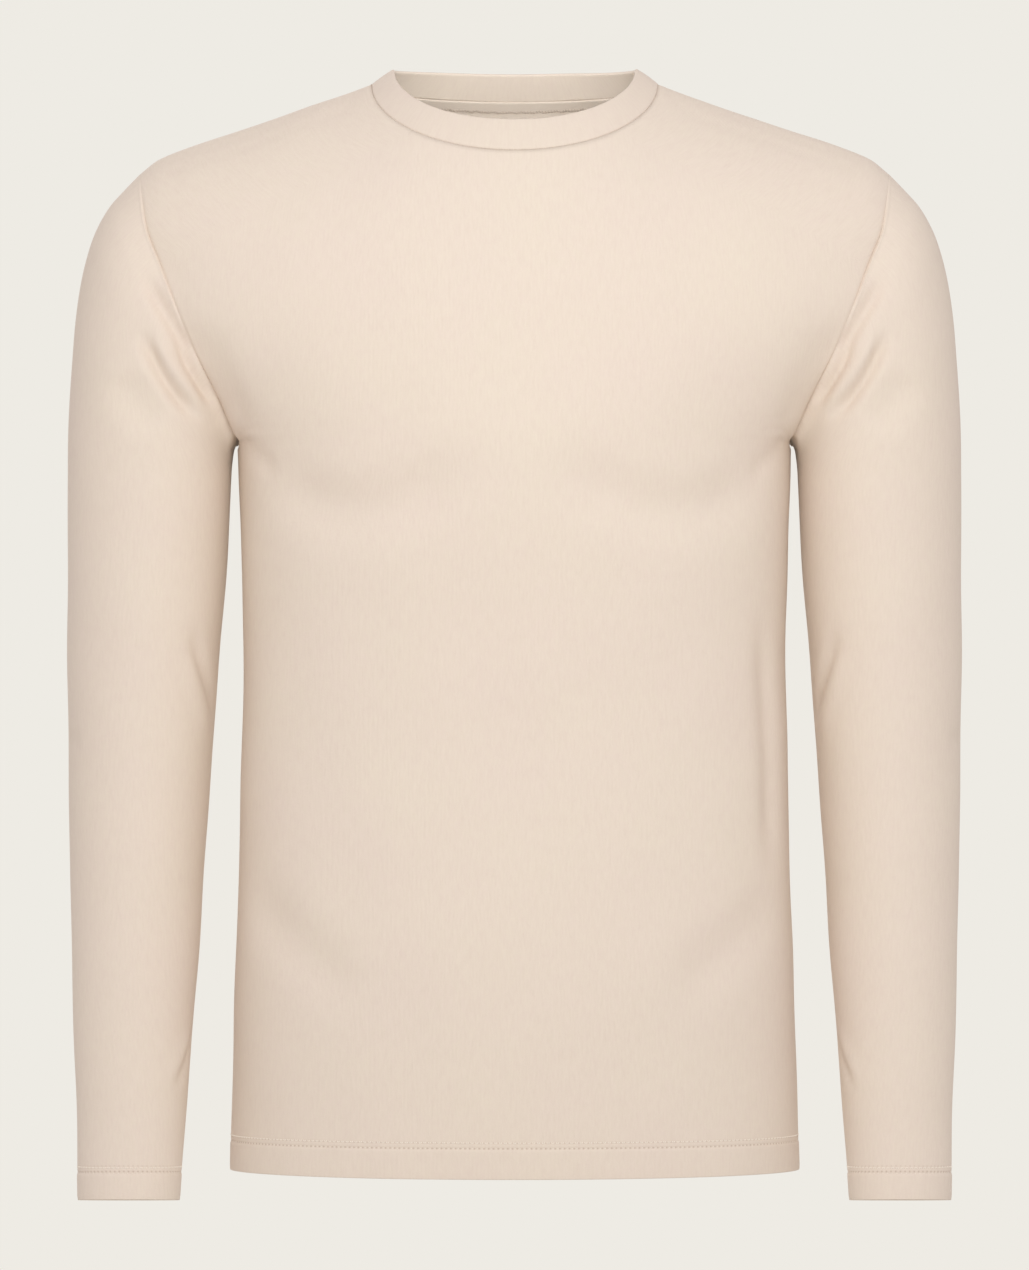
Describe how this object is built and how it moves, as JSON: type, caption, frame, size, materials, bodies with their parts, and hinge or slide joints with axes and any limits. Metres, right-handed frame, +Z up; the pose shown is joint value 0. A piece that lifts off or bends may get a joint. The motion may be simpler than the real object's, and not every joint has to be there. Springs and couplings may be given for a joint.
{
  "type": "long-sleeve t-shirt",
  "caption": "Slim long-sleeve jersey t-shirt with a crew neckband, worn and filled out with no wearer, sleeves hanging at the sides.",
  "frame": {"origin": "midway between the two high shoulder points, where the neckband meets the front and the back at the base of the wearer's neck; this is where the wearer holds the garment up", "axes": "+Z up, the garment's front faces -Y, +X is the wearer's left"},
  "size_m": [0.5746, 0.228, 0.7281],
  "materials": {
    "jersey": "fine matt cotton-blend jersey, stone beige",
    "neckband_jersey": "the same jersey folded double along the neckband",
    "tape": "narrow self-coloured tape over the back neck seam"
  },
  "bodies": {
    "root": {"front": "jersey", "back": "jersey", "sleeve_left": "jersey", "sleeve_right": "jersey", "neckband": "neckband_jersey", "neck_tape": "tape"}
  },
  "joints": []
}
